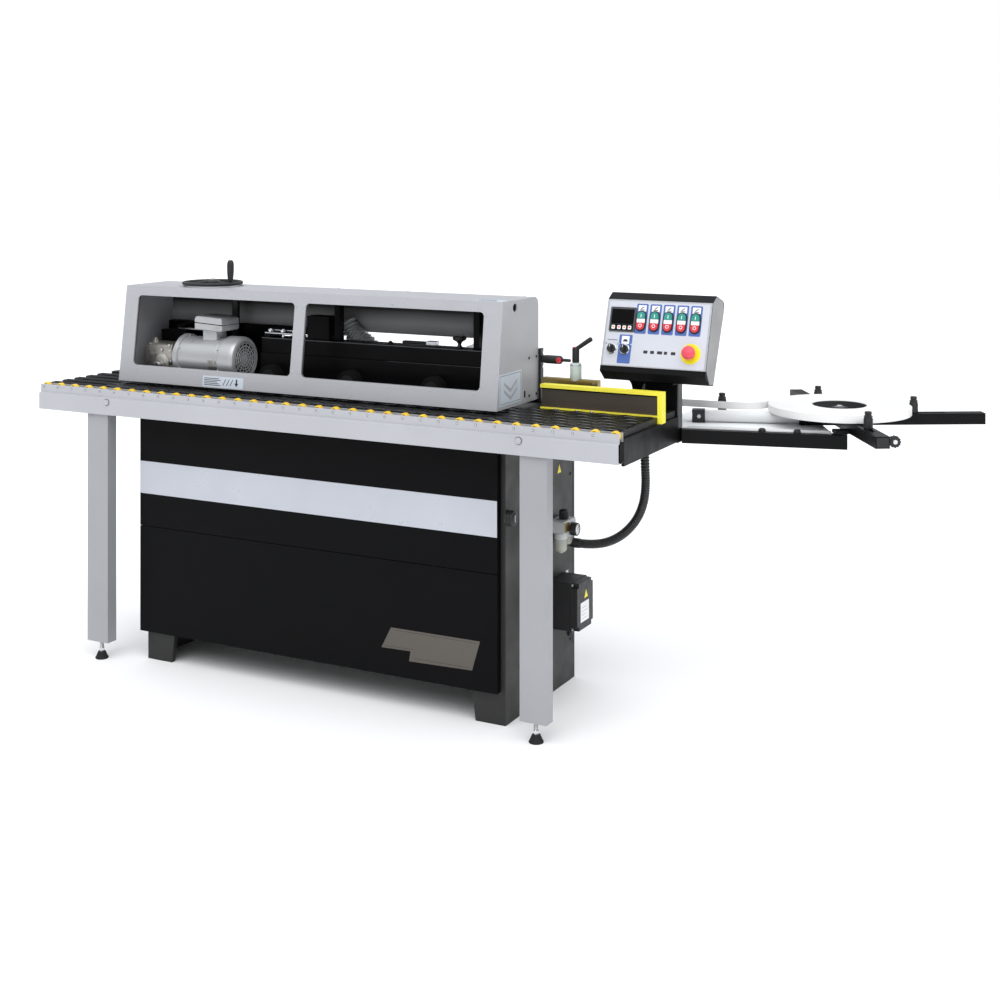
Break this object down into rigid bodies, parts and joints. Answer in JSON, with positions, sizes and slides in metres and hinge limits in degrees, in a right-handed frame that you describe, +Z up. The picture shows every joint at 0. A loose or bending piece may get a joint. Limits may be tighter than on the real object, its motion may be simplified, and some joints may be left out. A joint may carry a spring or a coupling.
{
  "type": "edge banding machine",
  "caption": "Floor-standing edge banding machine: roller table on a cabinet, lifting feed head under a windowed hood, sloping console and flat tape coil.",
  "frame": {"origin": "floor level under the middle of the machine's bounding box", "axes": "+X along the feed direction's line towards the tape coil, +Y from the operator to the back, +Z up"},
  "size_m": [2.8638, 1.171, 1.291],
  "materials": {
    "grey_paint": "fine hammered light grey enamel",
    "black_paint": "satin black enamel",
    "black_plastic": "fine grained",
    "bronze_steel": "dark bronze finish on ground steel",
    "yellow_paint": "safety yellow enamel",
    "yellow_plastic": "moulded",
    "steel": "ground and chromed",
    "grey_cast": "grey painted die casting",
    "rubber": "matt",
    "white_tape": "smooth white edging strip",
    "white_paint": "smooth white enamel",
    "clear_plastic": "clear bowls on a white body",
    "green_plastic": "moulded",
    "red_plastic": "moulded"
  },
  "bodies": {
    "frame": {"cabinet": "black_paint", "lower_panel": "black_paint", "roller_rail": "grey_paint", "leg_left": "grey_paint", "leg_right": "grey_paint", "table_deck": "black_paint", "end_plate": "black_paint", "fence_guard": "yellow_paint", "fence_plate": "bronze_steel", "lever_stand": "bronze_steel", "column_left": "steel", "column_right": "steel", "junction_box": "black_plastic", "air_unit": "clear_plastic", "air_hose": "rubber", "console_post": "black_paint", "console_box": "black_paint", "front_arm": "black_paint", "support_beam": "black_paint", "cross_arm": "black_paint", "tape_tray": "white_paint"},
    "head": {"hood": "grey_paint", "pressure_beam": "black_paint", "feed_motor": "grey_cast", "worm_gearbox": "grey_cast"},
    "tape": {"coil_plate": "black_paint", "tape_coil": "white_tape"},
    "upper_door": {"upper_door": "black_paint"},
    "door_latch_knob": {"door_latch_knob": "black_plastic"},
    "foot_left": {"foot_left": "black_plastic"},
    "foot_right": {"foot_right": "black_plastic"},
    "roller_34": {"roller_34": "yellow_plastic"},
    "roller_35": {"roller_35": "yellow_plastic"},
    "lock_lever": {"lock_lever": "black_plastic"},
    "clamp_lever": {"clamp_lever": "black_plastic"},
    "motor_fan": {"motor_fan": "black_plastic"},
    "drive_shaft": {"drive_shaft": "steel"},
    "feed_wheel_1": {"feed_wheel_1": "rubber"},
    "feed_wheel_2": {"feed_wheel_2": "rubber"},
    "feed_wheel_3": {"feed_wheel_3": "rubber"},
    "handwheel": {"handwheel": "black_plastic"},
    "crank_grip": {"crank_grip": "black_plastic"},
    "regulator_knob": {"regulator_knob": "black_plastic"},
    "start_button_1": {"start_button_1": "green_plastic"},
    "stop_button_1": {"stop_button_1": "red_plastic"},
    "start_button_2": {"start_button_2": "green_plastic"},
    "stop_button_2": {"stop_button_2": "red_plastic"},
    "start_button_3": {"start_button_3": "green_plastic"},
    "stop_button_3": {"stop_button_3": "red_plastic"},
    "start_button_4": {"start_button_4": "green_plastic"},
    "stop_button_4": {"stop_button_4": "red_plastic"},
    "start_button_5": {"start_button_5": "green_plastic"},
    "stop_button_5": {"stop_button_5": "red_plastic"},
    "selector_1": {"selector_1": "black_plastic"},
    "selector_2": {"selector_2": "black_plastic"},
    "emergency_stop": {"emergency_stop": "red_plastic"},
    "peg_front": {"peg_front": "black_plastic"},
    "peg_back": {"peg_back": "black_plastic"},
    "peg_right": {"peg_right": "black_plastic"},
    "star_knob": {"star_knob": "black_plastic"}
  },
  "joints": [
    {"name": "head_lift", "type": "slide", "parent": "frame", "child": "head", "axis": [0, 0, 1], "range_m": [0, 0.04]},
    {"name": "tape_spin", "type": "hinge", "parent": "frame", "child": "tape", "pos_m": [1.04259, 0.15472, 0.874], "axis": [0, 0, 1], "continuous": true},
    {"name": "door_hinge", "type": "hinge", "parent": "frame", "child": "upper_door", "pos_m": [-1.06981, -0.51008, 0.613], "axis": [0, 0, -1], "range_deg": [0, 100]},
    {"name": "latch_turn", "type": "hinge", "parent": "frame", "child": "door_latch_knob", "pos_m": [0.26359, -0.48028, 0.592], "axis": [1, 0, 0], "range_deg": [0, 90]},
    {"name": "foot_left_screw", "type": "hinge", "parent": "frame", "child": "foot_left", "pos_m": [-1.18891, -0.55728, 0.02], "axis": [0, 0, 1], "range_deg": [-360, 360]},
    {"name": "foot_right_screw", "type": "hinge", "parent": "frame", "child": "foot_right", "pos_m": [0.38009, -0.55728, 0.02], "axis": [0, 0, 1], "range_deg": [-360, 360]},
    {"name": "roller_34_spin", "type": "hinge", "parent": "frame", "child": "roller_34", "pos_m": [0.56159, -0.56428, 0.87], "axis": [0, 1, 0], "continuous": true},
    {"name": "roller_35_spin", "type": "hinge", "parent": "frame", "child": "roller_35", "pos_m": [0.62159, -0.56428, 0.87], "axis": [0, 1, 0], "continuous": true},
    {"name": "lock_turn", "type": "hinge", "parent": "frame", "child": "lock_lever", "pos_m": [0.26159, -0.17828, 1.011], "axis": [1, 0, 0], "range_deg": [-90, 90]},
    {"name": "clamp_turn", "type": "hinge", "parent": "frame", "child": "clamp_lever", "pos_m": [0.33859, -0.20028, 1.03], "axis": [0, 0, 1], "range_deg": [-80, 80]},
    {"name": "motor_spin", "type": "hinge", "parent": "head", "child": "motor_fan", "pos_m": [-0.80241, -0.35028, 0.971], "axis": [1, 0, 0], "continuous": true},
    {"name": "shaft_spin", "type": "hinge", "parent": "head", "child": "drive_shaft", "pos_m": [-1.09241, -0.34028, 0.939], "axis": [0, 1, 0], "continuous": true},
    {"name": "feed_wheel_1_spin", "type": "hinge", "parent": "head", "child": "feed_wheel_1", "pos_m": [-0.65841, -0.35828, 0.925], "axis": [0, 1, 0], "continuous": true},
    {"name": "feed_wheel_2_spin", "type": "hinge", "parent": "head", "child": "feed_wheel_2", "pos_m": [-0.35841, -0.35828, 0.925], "axis": [0, 1, 0], "continuous": true},
    {"name": "feed_wheel_3_spin", "type": "hinge", "parent": "head", "child": "feed_wheel_3", "pos_m": [-0.05841, -0.35828, 0.925], "axis": [0, 1, 0], "continuous": true},
    {"name": "handwheel_turn", "type": "hinge", "parent": "head", "child": "handwheel", "pos_m": [-0.92641, -0.31828, 1.212], "axis": [0, 0, 1], "range_deg": [0, 2880]},
    {"name": "grip_spin", "type": "hinge", "parent": "handwheel", "child": "crank_grip", "pos_m": [-0.84521, -0.3297, 1.25], "axis": [0, 0, 1], "continuous": true},
    {"name": "regulator_turn", "type": "hinge", "parent": "frame", "child": "regulator_knob", "pos_m": [0.28159, -0.16228, 0.54], "axis": [0, 0, 1], "range_deg": [-360, 360]},
    {"name": "start_1_press", "type": "slide", "parent": "frame", "child": "start_button_1", "axis": [0, 0.9502, -0.3115], "range_m": [0, 0.004], "stiffness_N_per_m": 300},
    {"name": "stop_1_press", "type": "slide", "parent": "frame", "child": "stop_button_1", "axis": [0, 0.9502, -0.3115], "range_m": [0, 0.004], "stiffness_N_per_m": 300},
    {"name": "start_2_press", "type": "slide", "parent": "frame", "child": "start_button_2", "axis": [0, 0.9502, -0.3115], "range_m": [0, 0.004], "stiffness_N_per_m": 300},
    {"name": "stop_2_press", "type": "slide", "parent": "frame", "child": "stop_button_2", "axis": [0, 0.9502, -0.3115], "range_m": [0, 0.004], "stiffness_N_per_m": 300},
    {"name": "start_3_press", "type": "slide", "parent": "frame", "child": "start_button_3", "axis": [0, 0.9502, -0.3115], "range_m": [0, 0.004], "stiffness_N_per_m": 300},
    {"name": "stop_3_press", "type": "slide", "parent": "frame", "child": "stop_button_3", "axis": [0, 0.9502, -0.3115], "range_m": [0, 0.004], "stiffness_N_per_m": 300},
    {"name": "start_4_press", "type": "slide", "parent": "frame", "child": "start_button_4", "axis": [0, 0.9502, -0.3115], "range_m": [0, 0.004], "stiffness_N_per_m": 300},
    {"name": "stop_4_press", "type": "slide", "parent": "frame", "child": "stop_button_4", "axis": [0, 0.9502, -0.3115], "range_m": [0, 0.004], "stiffness_N_per_m": 300},
    {"name": "start_5_press", "type": "slide", "parent": "frame", "child": "start_button_5", "axis": [0, 0.9502, -0.3115], "range_m": [0, 0.004], "stiffness_N_per_m": 300},
    {"name": "stop_5_press", "type": "slide", "parent": "frame", "child": "stop_button_5", "axis": [0, 0.9502, -0.3115], "range_m": [0, 0.004], "stiffness_N_per_m": 300},
    {"name": "selector_1_turn", "type": "hinge", "parent": "frame", "child": "selector_1", "pos_m": [0.45759, -0.20586, 1.05849], "axis": [0, -0.9502, 0.3115], "range_deg": [-45, 45]},
    {"name": "selector_2_turn", "type": "hinge", "parent": "frame", "child": "selector_2", "pos_m": [0.49859, -0.20586, 1.05849], "axis": [0, -0.9502, 0.3115], "range_deg": [-45, 45]},
    {"name": "emergency_stop_press", "type": "slide", "parent": "frame", "child": "emergency_stop", "axis": [0, 0.9502, -0.3115], "range_m": [0, 0.004]},
    {"name": "peg_front_slide", "type": "slide", "parent": "frame", "child": "peg_front", "axis": [0.5225, -0.8526, 0], "range_m": [-0.046, 0.043]},
    {"name": "peg_back_slide", "type": "slide", "parent": "frame", "child": "peg_back", "axis": [-0.5225, 0.8526, 0], "range_m": [0, 0.09]},
    {"name": "peg_right_slide", "type": "slide", "parent": "frame", "child": "peg_right", "axis": [0.8704, 0.4924, 0], "range_m": [0, 0.09]},
    {"name": "star_knob_turn", "type": "hinge", "parent": "frame", "child": "star_knob", "pos_m": [1.27354, -0.14943, 0.8425], "axis": [0.5225, -0.8526, 0], "continuous": true}
  ],
  "couplings": [
    {"joint": "shaft_spin", "follows": "motor_spin", "ratio": 0.1},
    {"joint": "feed_wheel_1_spin", "follows": "motor_spin", "ratio": 0.1},
    {"joint": "feed_wheel_2_spin", "follows": "motor_spin", "ratio": 0.1},
    {"joint": "feed_wheel_3_spin", "follows": "motor_spin", "ratio": 0.1},
    {"joint": "handwheel_turn", "follows": "head_lift", "rad_per_m": 1256.6}
  ]
}
